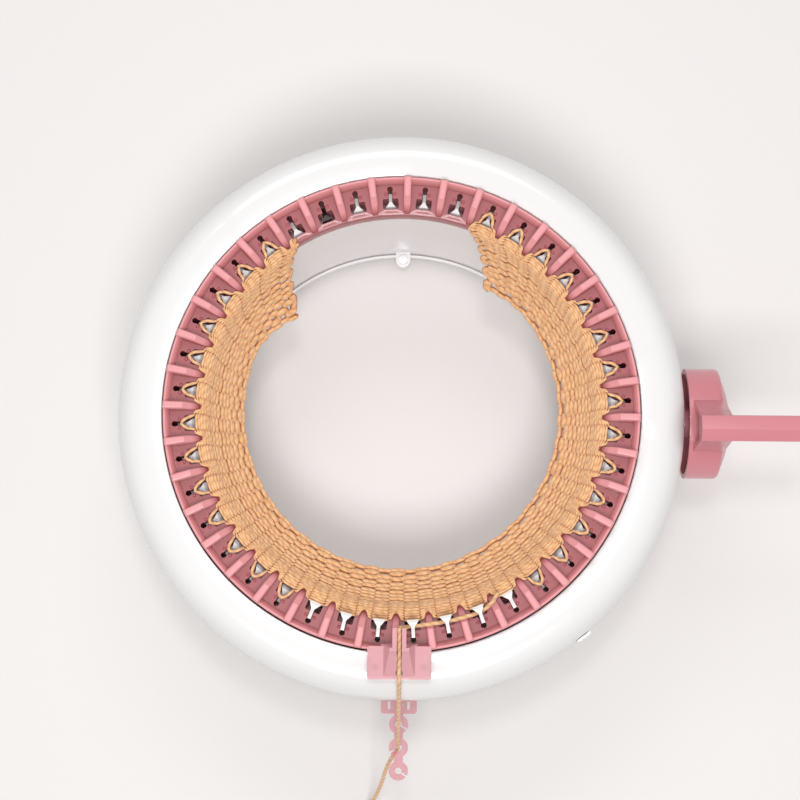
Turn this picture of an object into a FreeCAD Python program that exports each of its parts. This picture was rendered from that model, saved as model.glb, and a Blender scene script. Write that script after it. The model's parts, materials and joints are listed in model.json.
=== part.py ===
"""Circular knitting machine: forty needles in a turning barrel, driven by a side crank.

Millimetres, +Z up. The origin is on the table, on the axis of the barrel. The crank is on
the +X side and the yarn feeder is at the front, -Y. Angles are in degrees, anticlockwise
from +X as seen from above.
"""
import FreeCAD, Part
import math
import os

V = FreeCAD.Vector
Z_AXIS = V(0, 0, 1)
X_AXIS = V(1, 0, 0)
ORIGIN = V(0, 0, 0)
OVER = 1.0                  # how far a cutting tool runs past the face it cuts

# ---- fits -------------------------------------------------------------------------------
FIT = 0.3                   # clearance between pieces that move past each other
SHAFT_FIT = 0.06            # radial clearance of a shaft in its bearing
PRESS_FIT = 0.02            # radial clearance of a piece fixed on its shaft
SCREW_FIT = 0.1             # radial clearance round a screw's shank

# ---- driving dimensions -----------------------------------------------------------------
NEEDLE_COUNT = 40
NEEDLE_PITCH = 360.0 / NEEDLE_COUNT
FIRST_NEEDLE = -86.5        # angle of the needle just right of the feeder
BODY_R = 150.0              # outside of the housing
BODY_TOP = 119.0            # flat top of the housing
WALL = 2.5                  # wall of the housing
SHOULDER_R = 14.0           # rounding between the housing's wall and its top
RIM_GAP = 0.8               # gap between the housing's top and the crown
RIM_DROP = 7.0              # depth of the housing's down-turned inner rim
RIM_SOFT = 0.7              # rounding of that rim's top edge
BOSS_H = 18.0               # height of the bosses for the base screws
BOSS_OUT_R = 4.0
BOSS_RIB_HALF = 1.2
PILOT_H = 14.0              # depth of their pilot holes, from the base plate's top
FOOT_H = 5.0                # height of the rubber feet
FLOOR_T = 3.0               # thickness of the base plate
THROAT_R = 105.0            # clear radius in the middle, where the knitting hangs
TUBE_WALL = 2.0             # wall of the inner tube
BASE_IN = 102.8             # inner edge of the base plate
BASE_GROOVE = 0.9           # width of the gap between that edge's ring and the tube
CROWN_R = 125.0             # outside of the needle crown
PLATE_TOP = 118.0           # top of the plate that the needles come through
PLATE_T = 2.5
LIP_BOTTOM = 108.0          # lower edge of the crown's inner lip
RIM_TOP = 122.0
RIM_T = 1.2                 # width of the rim's top
RIM_SLOPE = 2.4             # width of the rim's inner slope
RIM_STEP = 1.0              # height of the upright step below that slope
FIN_TOP = 125.0
LIFT = 18.0                 # travel of a needle
FIN_OUT_HALF = 2.1          # half the thickness of a fin at the rim
FIN_IN_HALF = 1.8           # and at its inner end
FIN_IN = 105.3
FIN_KINK = 114.4            # where a fin's level crest starts to fall inwards
FIN_ROUND = 1.1
KEY_END = 119.2             # centre of a keyhole's round outer end
KEY_END_R = 1.5
KEY_STEP = 114.0            # where a keyhole widens for the hook
KEY_HALF = 4.15
BUMP_R = 1.0
BUMP_AT = 116.6
BUMP_SIDE = 2.3
BUMP_SINK = 0.35            # how far a bump's centre lies under the plate's top

BASE_TOP = FOOT_H + FLOOR_T
TUBE_R = THROAT_R + TUBE_WALL
TUBE_FOOT_R = 110.0         # small flange at the foot of the inner tube
TUBE_FOOT_T = 2.0
BODY_IN = BODY_R - WALL

# ---- barrel -----------------------------------------------------------------------------
BARREL_IN = 110.5
BARREL_OUT = 119.0
BARREL_BOTTOM = 14.0
BARREL_TOP = 104.0
FLANGE_R = 132.0
FLANGE_T = 4.0
LUG_REACH = 3.2             # how far the stop lug stands out of the flange
LUG_HALF = 2.6              # half its width, degrees
LUG_ANGLE = 137.5

# ---- needles ----------------------------------------------------------------------------
STEM_IN = 115.2
STEM_OUT = 118.0
STEM_W = 1.8
TIP_IN = 108.8
TIP_T = 1.2
TIP_W = 5.8
NECK_AT = 112.6             # radius where the hook's flare meets the stem's width
HEAD_TOP = 114.0            # top of a lowered needle
ARCH_T = 2.6
ARCH_FALL = 3.0             # how far the arch falls from the hook to the stem
CROOK_AT = 116.2            # radius where that fall ends
HOOK_DEPTH = 7.5            # from the head's top down to the hook's tip
STEM_BOTTOM = 26.0
BUTT_BOTTOM = 31.0
BUTT_H = 6.0
BUTT_OUT = 122.2
RAISED = {"needle_raised_1": -68.5, "needle_raised_2": -77.5, "needle_raised_3": -86.5,
          "needle_raised_4": -95.5, "needle_raised_5": -104.5}
HALF_RAISED = {"needle_rising": -59.5, "needle_falling": -113.5}
MARKER_ANGLE = 111.5

# ---- cam --------------------------------------------------------------------------------
CAM_IN = BUTT_OUT + FIT
CAM_OUT = 129.0
CAM_TOP = 57.0
CAM_FOOT_R = 136.0
CAM_FOOT_T = 3.0
GROOVE_PLAY = 1.0           # room above and below a needle's butt
GROOVE_DEPTH = 3.6
CAM_SCREW_AT = 132.6
CAM_SCREW_ANGLES = [60.0 + 60.0 * i for i in range(5)]
RAMP_HALF = 8.0             # half the angle of each ramp
RISE_ANGLE = -59.5          # middle of the ramp on the right of the feeder
FALL_ANGLE = -113.5         # middle of the ramp on its left

# ---- drive ------------------------------------------------------------------------------
RING_TEETH = 120
PINION_TEETH = 12
RING_IN = 124.5
RING_OUT = 131.5
CRANK_Z = 76.0
TOOTH_UP = 1.7              # tooth height beyond the pitch line
TOOTH_DOWN = 2.35           # tooth depth below the pitch line
TOOTH_THICK = 2.7           # tooth thickness on the pitch line
TOOTH_SLOPE = math.tan(math.radians(20.0))
RING_BACK = 2.85            # material behind the roots of the ring gear's teeth
TOOTH_INSET = 0.3           # step from the ring gear's edges to its teeth
SHAFT_R = 4.0
PITCH_R = (RING_IN + RING_OUT) / 2 * PINION_TEETH / RING_TEETH
PITCH_Z = CRANK_Z + PITCH_R
ROOT_Z = PITCH_Z + TOOTH_DOWN
FLANGE_Z = ROOT_Z + RING_BACK
FLANGE_TOP = FLANGE_Z + FLANGE_T
PINION_IN = RING_IN + 0.5
PINION_OUT = RING_OUT - 0.5
CROWN_SCREW_AT = 121.75
CROWN_SCREW_ANGLES = [FIRST_NEEDLE + NEEDLE_PITCH / 2 + 60.0 * i for i in range(6)]
GEAR_SCREW_AT = 128.4
GEAR_SCREW_ANGLES = [FIRST_NEEDLE + NEEDLE_PITCH / 2 + 30.0 + 60.0 * i for i in range(6)]
CRADLE_SCREWS = ((134.0, -6.0), (134.0, 6.0))
CRADLE_IN = 121.0
CRADLE_EAR = 3.6
CRADLE_POST = 4.4
CRADLE_HALF = 9.0
CRADLE_WEB_Z = CAM_TOP + FIT
CRADLE_OUT_X = PINION_OUT + FIT
BUSH_R = 6.5

# ---- crank handle -----------------------------------------------------------------------
HUB_R = 29.7
HUB_BACK = 152.8
HUB_RIM = 171.0
HUB_DOME = 6.0
HUB_WALL = 2.5
BOSS_R = 8.0
ARM_BACK = 155.0
ARM_FRONT = 171.5
ARM_LOW = 20.0              # from the crank's axis to the arm's wide end
ARM_LOW_HALF = 15.1
BAR_HALF = 6.65             # half the grip bar across its flats
BAR_RISE = 56.3             # from the crank's axis to the grip bar's axis
BAR_END = 212.0
ARM_WALL = 2.4
CRANK_LEAN = 8.4            # lean of the arm towards the front at rest
SHAFT_END = 166.0
SCREW_SEAT = 172.0          # where the head of the handle's screw bears

# ---- selector ---------------------------------------------------------------------------
SELECTOR_ANGLE = -52.4
SELECTOR_TRAVEL = 12.0
FINGER_TRAVEL = 4.0
FINGER_IN = FLANGE_R + 0.6
FINGER_L = 8.0
FINGER_HALF = 4.0
PIN_R = 1.0
PIN_AT = 139.0
SLIDE_T = 2.4
SLIDE_IN = 136.8
SLIDE_OUT = 145.8
SLIDE_Z = FLANGE_TOP + 2 * FIT
KNOB_HALF = 4.2
KNOB_H = 10.0
KNOB_T = 1.2
STEM_HALF = 2.5

# ---- yarn and its guides ----------------------------------------------------------------
YARN_D = 2.2
SLIT_W = 2.7
EYE_R = 1.9
CLIP_AT = 12.5
CLIP_Y = 133.0
CLIP_R = 1.8
TONGUE_HALF = 6.0
FEEDER_HALF = 16.5
FEEDER_IN = 122.2
FEEDER_OUT = 139.2
FEEDER_Z = 126.2
FEEDER_T = 2.0
HUMP_TOP = 136.6
PRONG_Z = 133.0
PRONG_IN = 113.2
PRONG_W = 2.2
BRACKET_HALF = 9.65
BRACKET_OUT = 157.4
BRACKET_Z = 70.0            # middle of the bracket and of the rings
BRACKET_T = 4.0
RING_R = 5.15
RING_HOLE = 1.75
RING_PITCH = 12.3
FIRST_RING = 163.1
RING_T = 3.0
COIL_X = -18.0
COIL_Y = -231.0
COIL_MID_R = 12.2
COIL_W = 9.6
COIL_H = 7.2

# ---- knitted panel ----------------------------------------------------------------------
PANEL_T = 4.5
PANEL_TOP = 114.0
PANEL_STRAIGHT = 4.0        # upright part at its top
PANEL_HEM_Z = 77.0
PANEL_HEM_R = 87.0
PANEL_START = 121.0         # edges of the knitting at the gap at the back
PANEL_SPAN = 313.0

# ---- fasteners --------------------------------------------------------------------------
SCREW_R = 1.5
HEAD_R = 2.5
HEAD_H = 2.0
TAB_HALF = 4.15
TAB_REACH = 8.6
TAB_T = 3.0
TAB_ANGLES = (90.0, 210.0, 330.0)
TAB_AT = THROAT_R - TAB_REACH + TAB_HALF
BASE_SCREW_R = 141.0
BASE_SCREW_ANGLES = [22.5 + 60.0 * i for i in range(6)]
FOOT_ANGLES = [45.0 + 90.0 * i for i in range(4)]
FOOT_AT = 133.0
FOOT_R = 9.0


# ---- helpers ----------------------------------------------------------------------------
def box(x0, x1, y0, y1, z0, z1):
    """A block between two corners."""
    return Part.makeBox(x1 - x0, y1 - y0, z1 - z0, V(x0, y0, z0))


def post(r, z0, z1, x=0.0, y=0.0):
    """An upright cylinder."""
    return Part.makeCylinder(r, z1 - z0, V(x, y, z0), Z_AXIS)


def rod(r, x0, x1, y=0.0, z=CRANK_Z):
    """A cylinder along X, by default on the crank's axis."""
    return Part.makeCylinder(r, x1 - x0, V(x0, y, z), X_AXIS)


def ring(r_in, r_out, z0, z1):
    """A flat ring round the machine's axis."""
    return post(r_out, z0, z1).cut(post(r_in, z0 - OVER, z1 + OVER))


def turned(shape, angle):
    """A copy turned about the machine's axis."""
    copy = shape.copy()
    copy.rotate(ORIGIN, Z_AXIS, angle)
    return copy


def prism(points, along):
    """A polygon swept along a vector."""
    return Part.Face(Part.makePolygon(points + points[:1])).extrude(along)


def turned_profile(outline, angle=360.0):
    """A closed (radius, z) outline turned about the machine's axis."""
    points = [V(r, 0, z) for r, z in outline]
    return Part.Face(Part.makePolygon(points + points[:1])).revolve(ORIGIN, Z_AXIS, angle)


def around(shape, angles):
    """Copies of a shape at several angles round the axis."""
    return [turned(shape, a) for a in angles]


def save(name, *solids):
    """One node: one solid, or a group of separate ones."""
    shape = solids[0] if len(solids) == 1 else Part.makeCompound(list(solids))
    count = len(shape.Solids)
    assert shape.isValid() and count >= 1, name
    shape.exportStep("parts/" + name + ".step")
    print("%-18s %2d solids %10.1f mm3" % (name, count, shape.Volume))


def screw(head_z, tip_z, x=0.0, y=0.0):
    """A screw with a cross recess; its head is at head_z and it points to tip_z."""
    way = 1.0 if tip_z > head_z else -1.0
    along = V(0, 0, way)
    head = Part.makeCylinder(HEAD_R, HEAD_H, V(x, y, head_z), along)
    shank = Part.makeCylinder(SCREW_R, abs(tip_z - head_z), V(x, y, head_z), along)
    low = head_z - OVER if way > 0 else head_z - HEAD_H / 2
    high = head_z + HEAD_H / 2 if way > 0 else head_z + OVER
    cross = box(x - 1.6, x + 1.6, y - 0.35, y + 0.35, low, high)
    cross = cross.fuse(box(x - 0.35, x + 0.35, y - 1.6, y + 1.6, low, high))
    return head.fuse(shank).cut(cross)


# ---- shells -----------------------------------------------------------------------------
def housing_section():
    """The housing's wall, shoulder and top in section, with a down-turned inner rim."""
    top_in = CROWN_R + RIM_GAP
    arc_r = BODY_R - SHOULDER_R
    arc_z = BODY_TOP - SHOULDER_R
    half = math.sqrt(0.5)
    lip_z = BODY_TOP - RIM_DROP
    soft = RIM_SOFT

    def p(r, z):
        return V(r, 0, z)

    edges = [
        Part.LineSegment(p(BODY_R, FOOT_H), p(BODY_R, arc_z)),
        Part.Arc(p(BODY_R, arc_z), p(arc_r + SHOULDER_R * half, arc_z + SHOULDER_R * half),
                 p(arc_r, BODY_TOP)),
        Part.LineSegment(p(arc_r, BODY_TOP), p(top_in + soft, BODY_TOP)),
        Part.Arc(p(top_in + soft, BODY_TOP),
                 p(top_in + soft * (1 - half), BODY_TOP - soft * (1 - half)),
                 p(top_in, BODY_TOP - soft)),
        Part.LineSegment(p(top_in, BODY_TOP - soft), p(top_in, lip_z)),
        Part.LineSegment(p(top_in, lip_z), p(top_in + WALL, lip_z)),
        Part.LineSegment(p(top_in + WALL, lip_z), p(top_in + WALL, BODY_TOP - WALL)),
        Part.LineSegment(p(top_in + WALL, BODY_TOP - WALL), p(arc_r, BODY_TOP - WALL)),
        Part.Arc(p(arc_r, BODY_TOP - WALL),
                 p(arc_r + (SHOULDER_R - WALL) * half, arc_z + (SHOULDER_R - WALL) * half),
                 p(BODY_IN, arc_z)),
        Part.LineSegment(p(BODY_IN, arc_z), p(BODY_IN, FOOT_H)),
        Part.LineSegment(p(BODY_IN, FOOT_H), p(BODY_R, FOOT_H)),
    ]
    return Part.Face(Part.Wire([e.toShape() for e in edges]))


def outer_housing():
    """The white shell, with bosses for the base screws and holes for what goes through it."""
    shell = housing_section().revolve(ORIGIN, Z_AXIS, 360)
    boss = post(BOSS_OUT_R, BASE_TOP, BASE_TOP + BOSS_H, BASE_SCREW_R)
    rib = box(BASE_SCREW_R, BODY_IN + WALL / 2, -BOSS_RIB_HALF, BOSS_RIB_HALF,
              BASE_TOP, BASE_TOP + BOSS_H)
    hole = post(SCREW_R + SCREW_FIT, BASE_TOP - OVER, BASE_TOP + PILOT_H, BASE_SCREW_R)
    pillar = boss.fuse(rib).cut(hole)
    shell = shell.fuse(around(pillar, BASE_SCREW_ANGLES))
    shell = shell.cut(rod(BUSH_R + SCREW_FIT, BODY_IN - 4, BODY_R + OVER))
    reach = SELECTOR_TRAVEL / 2 + STEM_HALF + FIT
    slot = box(BODY_IN - 3, BODY_R + OVER, -reach, reach, SLIDE_Z - FIT, SLIDE_Z + SLIDE_T + FIT)
    shell = shell.cut(turned(slot, SELECTOR_ANGLE))
    tongue = box(-TONGUE_HALF - FIT, TONGUE_HALF + FIT, -BODY_R - OVER, -BODY_IN + 3,
                 BRACKET_Z - RING_T / 2 - FIT, BRACKET_Z + RING_T / 2 + FIT)
    shell = shell.cut(tongue)
    for side in (-1, 1):
        at = side * CLIP_AT
        shell = shell.cut(post(CLIP_R + SCREW_FIT, BODY_TOP - WALL - OVER, BODY_TOP + OVER,
                               at, -CLIP_Y))
    return shell


def base_plate():
    """The floor of the machine, open in the middle, with holes for its screws."""
    plate = ring(BASE_IN, BODY_IN - FIT, FOOT_H, BASE_TOP)
    plate = plate.cut(ring(THROAT_R - BASE_GROOVE, THROAT_R, FOOT_H - OVER, BASE_TOP + OVER))
    plate = plate.fuse(around(tab(FOOT_H, BASE_TOP), TAB_ANGLES))
    hole = post(SCREW_R + SCREW_FIT, 0, BASE_TOP + OVER, BASE_SCREW_R)
    recess = post(HEAD_R + SCREW_FIT, 0, FOOT_H + HEAD_H, BASE_SCREW_R)
    plate = plate.cut(around(hole.fuse(recess), BASE_SCREW_ANGLES))
    low = post(HEAD_R + SCREW_FIT, 0, FOOT_H + HEAD_H, CAM_SCREW_AT)
    thin = post(SCREW_R + SCREW_FIT, 0, BASE_TOP + OVER, CAM_SCREW_AT)
    plate = plate.cut(around(low.fuse(thin), CAM_SCREW_ANGLES))
    for x, y in CRADLE_SCREWS:
        plate = plate.cut(post(HEAD_R + SCREW_FIT, 0, FOOT_H + HEAD_H, x, y))
        plate = plate.cut(post(SCREW_R + SCREW_FIT, 0, BASE_TOP + OVER, x, y))
    return plate


def tab(z0, z1):
    """A round-ended ear that points into the throat, with a screw hole."""
    ear = box(TAB_AT, THROAT_R + TUBE_WALL / 2, -TAB_HALF, TAB_HALF, z0, z1)
    ear = ear.fuse(post(TAB_HALF, z0, z1, TAB_AT))
    return ear.cut(post(SCREW_R + SCREW_FIT, z0 - OVER, z1 + OVER, TAB_AT))


def inner_tube():
    """The white wall round the throat, standing on the base plate, with three tabs."""
    tube = ring(THROAT_R, TUBE_R, BASE_TOP, LIP_BOTTOM - 2 * FIT)
    foot = ring(TUBE_R - TUBE_WALL / 2, TUBE_FOOT_R, BASE_TOP, BASE_TOP + TUBE_FOOT_T)
    return tube.fuse([foot] + around(tab(BASE_TOP, BASE_TOP + TAB_T), TAB_ANGLES))


# ---- track, cam and drive supports ------------------------------------------------------
def track_ring():
    """The low-friction ring that the barrel rests and turns on."""
    seat_top = BARREL_BOTTOM - FIT
    seat = ring(BARREL_IN - FIT - 1.6, BARREL_OUT + 1.0, BASE_TOP + TUBE_FOOT_T + 0.1, seat_top)
    foot = ring(TUBE_FOOT_R + FIT, BARREL_OUT + 1.0, BASE_TOP, BASE_TOP + TUBE_FOOT_T + 0.2)
    collar = ring(BARREL_IN - FIT - 1.6, BARREL_IN - FIT, seat_top - 1.0, BARREL_BOTTOM + 9)
    return seat.fuse(foot).fuse(collar)


def cam_ramp(angle, low_left, low, high):
    """A slanting stretch of the cam's groove, cut straight out from the axis."""
    r_mid = CAM_IN + GROOVE_DEPTH / 2
    reach = r_mid * math.sin(math.radians(RAMP_HALF)) + 0.3
    left, right = (low, high) if low_left else (high, low)
    height = BUTT_H + 2 * GROOVE_PLAY
    x0 = CAM_IN * math.cos(math.radians(RAMP_HALF)) - 3.0
    outline = [V(x0, -reach, right), V(x0, reach, left),
               V(x0, reach, left + height), V(x0, -reach, right + height)]
    tool = prism(outline, V(CAM_IN + GROOVE_DEPTH - x0, 0, 0))
    return turned(tool, angle)


def cam_ring():
    """The fixed ring whose groove lifts the needles' butts in front of the feeder."""
    body = ring(CAM_IN, CAM_OUT, BASE_TOP, CAM_TOP)
    body = body.fuse(ring(CAM_IN, CAM_FOOT_R, BASE_TOP, BASE_TOP + CAM_FOOT_T))
    low = BUTT_BOTTOM - GROOVE_PLAY
    high = low + LIFT
    height = BUTT_H + 2 * GROOVE_PLAY

    def groove(z, start, span):
        outline = [(CAM_IN - OVER, z), (CAM_IN + GROOVE_DEPTH, z),
                   (CAM_IN + GROOVE_DEPTH, z + height), (CAM_IN - OVER, z + height)]
        return turned(turned_profile(outline, span), start)

    low_start = RISE_ANGLE + RAMP_HALF
    low_span = 360.0 + (FALL_ANGLE - RAMP_HALF) - low_start
    high_start = FALL_ANGLE + RAMP_HALF
    high_span = (RISE_ANGLE - RAMP_HALF) - high_start
    body = body.cut(groove(low, low_start, low_span))
    body = body.cut(groove(high, high_start, high_span))
    body = body.cut(cam_ramp(RISE_ANGLE, True, low, high))
    body = body.cut(cam_ramp(FALL_ANGLE, False, low, high))
    pilot = post(SCREW_R + SCREW_FIT, BASE_TOP - OVER, BASE_TOP + CAM_FOOT_T + OVER, CAM_SCREW_AT)
    body = body.cut(Part.makeCompound(around(pilot, CAM_SCREW_ANGLES)))
    gap = box(CRADLE_OUT_X - FIT, CAM_FOOT_R + OVER, -CRADLE_HALF - FIT, CRADLE_HALF + FIT,
              BASE_TOP - OVER, BASE_TOP + CAM_FOOT_T + OVER)
    return body.cut(gap)


def pinion_cradle():
    """The bracket that carries the inner end of the crank shaft on both sides of its pinion."""
    out_x = CRADLE_OUT_X + CRADLE_POST
    top = CRANK_Z + 8.0
    outer = box(CRADLE_OUT_X, out_x, -CRADLE_HALF, CRADLE_HALF, BASE_TOP, top)
    inner = box(CRADLE_IN, CRADLE_IN + CRADLE_EAR, -CRADLE_HALF, CRADLE_HALF, CRADLE_WEB_Z, top)
    web = box(CRADLE_IN, out_x, -CRADLE_HALF, CRADLE_HALF, CRADLE_WEB_Z, CRADLE_WEB_Z + 3.0)
    body = outer.fuse([inner, web])
    body = body.cut(rod(SHAFT_R + SHAFT_FIT, CRADLE_IN - OVER, out_x + OVER))
    for x, y in CRADLE_SCREWS:
        body = body.cut(post(SCREW_R + SCREW_FIT, BASE_TOP - OVER, BASE_TOP + 9, x, y))
    return body


def wall_bush():
    """The flanged bush in the housing's wall."""
    sleeve = rod(BUSH_R, BODY_IN - 1.0, BODY_R + 0.6).fuse(rod(9.0, BODY_R + 0.3, BODY_R + 1.8))
    return sleeve.cut(rod(SHAFT_R + SHAFT_FIT, BODY_IN - 4, BODY_R + 4))


# ---- the turning barrel -----------------------------------------------------------------
def barrel_body():
    """The drum with a channel for each needle, a flange for the gear and one stop lug."""
    drum = ring(BARREL_IN, BARREL_OUT, BARREL_BOTTOM, BARREL_TOP)
    drum = drum.fuse(ring(BARREL_OUT - 1.0, FLANGE_R, FLANGE_Z, FLANGE_TOP))
    lug = turned_profile([(FLANGE_R - 1.0, FLANGE_Z), (FLANGE_R + LUG_REACH, FLANGE_Z),
                          (FLANGE_R + LUG_REACH, FLANGE_TOP), (FLANGE_R - 1.0, FLANGE_TOP)],
                         2 * LUG_HALF)
    drum = drum.fuse(turned(lug, LUG_ANGLE - LUG_HALF))
    half = STEM_W / 2 + FIT
    bottom = STEM_BOTTOM - 2 * FIT
    open_part = box(STEM_IN - 2 * FIT, BARREL_OUT + OVER, -half, half, bottom, FLANGE_Z - 3)
    closed_part = box(STEM_IN - 2 * FIT, STEM_OUT + FIT, -half, half, bottom, BARREL_TOP + OVER)
    channel = open_part.fuse(closed_part)
    drum = drum.cut(Part.makeCompound(around(channel, needle_angles())))
    crown_hole = post(SCREW_R + SCREW_FIT, FLANGE_Z - OVER, FLANGE_TOP + OVER, CROWN_SCREW_AT)
    gear_hole = post(SCREW_R + SCREW_FIT, FLANGE_Z - OVER, FLANGE_TOP + OVER, GEAR_SCREW_AT)
    drum = drum.cut(Part.makeCompound(around(crown_hole, CROWN_SCREW_ANGLES)))
    return drum.cut(Part.makeCompound(around(gear_hole, GEAR_SCREW_ANGLES)))


def needle_angles():
    """The angle of every needle, from the first one on."""
    return [FIRST_NEEDLE + NEEDLE_PITCH * i for i in range(NEEDLE_COUNT)]


def crown_section():
    """The crown's ring in section: lip, plate, sloping rim, outer wall and seat."""
    inside = THROAT_R + 1.4
    wall_in = CROWN_R - 3.7
    return [(THROAT_R + 1.5, PLATE_TOP), (THROAT_R + 0.45, PLATE_TOP - 0.45),
            (THROAT_R, PLATE_TOP - 1.5), (THROAT_R, LIP_BOTTOM), (inside, LIP_BOTTOM),
            (inside, PLATE_TOP - PLATE_T), (wall_in, PLATE_TOP - PLATE_T),
            (wall_in, BARREL_TOP + FIT), (BARREL_OUT + FIT, BARREL_TOP + FIT),
            (BARREL_OUT + FIT, FLANGE_TOP), (CROWN_R, FLANGE_TOP), (CROWN_R, RIM_TOP - 0.6),
            (CROWN_R - 0.5, RIM_TOP), (CROWN_R - RIM_T, RIM_TOP),
            (CROWN_R - RIM_T - RIM_SLOPE, PLATE_TOP + RIM_STEP),
            (CROWN_R - RIM_T - RIM_SLOPE, PLATE_TOP)]


def fin():
    """One blade of the crown between two needles, with a rounded crest."""
    low = PLATE_TOP - 1.5
    side = [V(CROWN_R, -4, low), V(CROWN_R, -4, FIN_TOP - 1.0), V(CROWN_R - 0.8, -4, FIN_TOP),
            V(FIN_KINK, -4, FIN_TOP), V(FIN_IN + 3.4, -4, FIN_TOP - 4.6),
            V(FIN_IN + 0.9, -4, FIN_TOP - 6.6), V(FIN_IN, -4, low)]
    blade = prism(side, V(0, 8, 0))
    plan = [V(FIN_IN - 1, -FIN_IN_HALF, low - 6), V(CROWN_R + 1, -FIN_OUT_HALF, low - 6),
            V(CROWN_R + 1, FIN_OUT_HALF, low - 6), V(FIN_IN - 1, FIN_IN_HALF, low - 6)]
    blade = blade.common(prism(plan, V(0, 0, FIN_TOP - low + 12)))
    crest = []
    for edge in blade.Edges:
        a, b = edge.Vertexes[0].Point, edge.Vertexes[-1].Point
        same_side = a.y * b.y > 0
        up = min(a.z, b.z) > PLATE_TOP + 0.3
        if same_side and up and abs(a.x - b.x) > 0.3:
            crest.append(edge)
    return blade.makeFillet(FIN_ROUND, crest)


def keyhole():
    """The opening in the crown's plate that one needle works through."""
    z0, z1 = PLATE_TOP - PLATE_T - OVER, PLATE_TOP + OVER
    round_end = post(KEY_END_R, z0, z1, KEY_END)
    neck_half = STEM_W / 2 + FIT
    neck = box(KEY_STEP - 0.5, KEY_END, -neck_half, neck_half, z0, z1)
    wide = box(TIP_IN - FIT, KEY_STEP, -KEY_HALF, KEY_HALF, z0, z1)
    upright = [e for e in wide.Edges if abs(e.Vertexes[0].Z - e.Vertexes[-1].Z) > 1]
    return wide.makeFillet(0.8, upright).fuse([neck, round_end])


def needle_crown():
    """The pink ring on top of the barrel, with a fin between every two needles."""
    body = turned_profile(crown_section())
    fins = around(fin(), [a + NEEDLE_PITCH / 2 for a in needle_angles()])
    bumps = []
    for side in (-1, 1):
        dot = Part.makeSphere(BUMP_R, V(BUMP_AT, side * BUMP_SIDE, PLATE_TOP - BUMP_SINK))
        bumps += around(dot, needle_angles())
    body = body.fuse(fins + bumps)
    body = body.cut(Part.makeCompound(around(keyhole(), needle_angles())))
    pilot = post(SCREW_R + SCREW_FIT, FLANGE_TOP - OVER, FLANGE_TOP + 6.0, CROWN_SCREW_AT)
    return body.cut(Part.makeCompound(around(pilot, CROWN_SCREW_ANGLES)))


def tooth_outline(down, up):
    """Half widths of a tooth at its root, on its pitch line and at its tip."""
    mid = TOOTH_THICK / 2
    return mid + down * TOOTH_SLOPE, mid, mid - up * TOOTH_SLOPE


def ring_gear():
    """The face gear under the flange: its teeth point down at the pinion."""
    body = ring(RING_IN, RING_OUT, ROOT_Z, FLANGE_Z)
    root, _, tip = tooth_outline(TOOTH_DOWN, TOOTH_UP)
    x = RING_IN + TOOTH_INSET
    outline = [V(x, -root, ROOT_Z + 0.2), V(x, root, ROOT_Z + 0.2),
               V(x, tip, PITCH_Z - TOOTH_UP), V(x, -tip, PITCH_Z - TOOTH_UP)]
    tooth = prism(outline, V(RING_OUT - RING_IN - 2 * TOOTH_INSET, 0, 0))
    step = 360.0 / RING_TEETH
    body = body.fuse(around(tooth, [step * (i + 0.5) for i in range(RING_TEETH)]))
    pilot = post(SCREW_R + SCREW_FIT, ROOT_Z + 0.6, FLANGE_Z + OVER, GEAR_SCREW_AT)
    return body.cut(Part.makeCompound(around(pilot, GEAR_SCREW_ANGLES)))


def drive_pinion():
    """The pinion on the crank shaft, with one tooth straight up."""
    root_r = PITCH_R - TOOTH_DOWN
    body = rod(root_r, PINION_IN, PINION_OUT)
    root, mid, tip = tooth_outline(TOOTH_DOWN, TOOTH_UP)
    x = PINION_IN
    outline = [V(x, -root * 0.9, CRANK_Z + root_r - 0.6), V(x, root * 0.9, CRANK_Z + root_r - 0.6),
               V(x, mid, CRANK_Z + PITCH_R), V(x, tip, CRANK_Z + PITCH_R + TOOTH_UP),
               V(x, -tip, CRANK_Z + PITCH_R + TOOTH_UP), V(x, -mid, CRANK_Z + PITCH_R)]
    tooth = prism(outline, V(PINION_OUT - PINION_IN, 0, 0))
    teeth = []
    for i in range(PINION_TEETH):
        copy = tooth.copy()
        copy.rotate(V(0, 0, CRANK_Z), X_AXIS, 360.0 / PINION_TEETH * i)
        teeth.append(copy)
    return body.fuse(teeth).cut(rod(SHAFT_R + PRESS_FIT, PINION_IN - OVER, PINION_OUT + OVER))


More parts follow.
